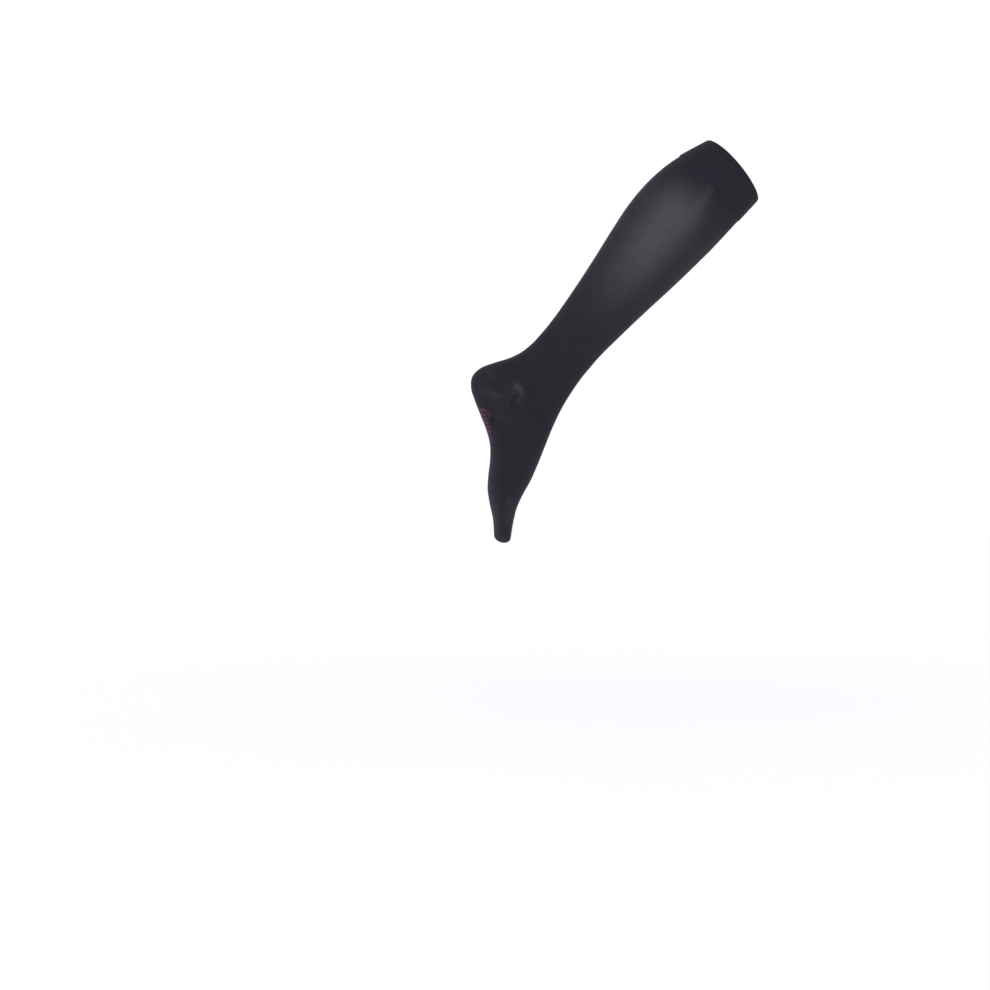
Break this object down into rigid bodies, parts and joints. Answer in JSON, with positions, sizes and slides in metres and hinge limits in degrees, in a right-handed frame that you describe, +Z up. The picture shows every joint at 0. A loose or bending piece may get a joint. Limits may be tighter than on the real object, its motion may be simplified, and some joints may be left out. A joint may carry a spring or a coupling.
{
  "type": "compression stocking",
  "caption": "Below-knee compression stocking with a turned top band, graduated leg, pocketed heel and closed toe, standing open in the form of a lower leg and foot.",
  "frame": {"origin": "centre of the leg opening, at the top edge of the turned band", "axes": "+Z up, +X towards the shin and instep, +Y across the leg; the leg runs down and back from the opening towards -X, with the toe pointing down"},
  "size_m": [0.3752, 0.1082, 0.5213],
  "materials": {
    "welt_knit": "matt dark charcoal knit, doubled",
    "leg_knit": "fine stretched charcoal knit with a soft sheen",
    "foot_knit": "fine dark knit with a soft sheen",
    "dense_knit": "dense matt reinforced knit"
  },
  "bodies": {
    "root": {"welt": "welt_knit", "calf": "leg_knit", "shank": "leg_knit", "heel": "dense_knit", "foot": "foot_knit", "toe": "dense_knit"}
  },
  "joints": []
}
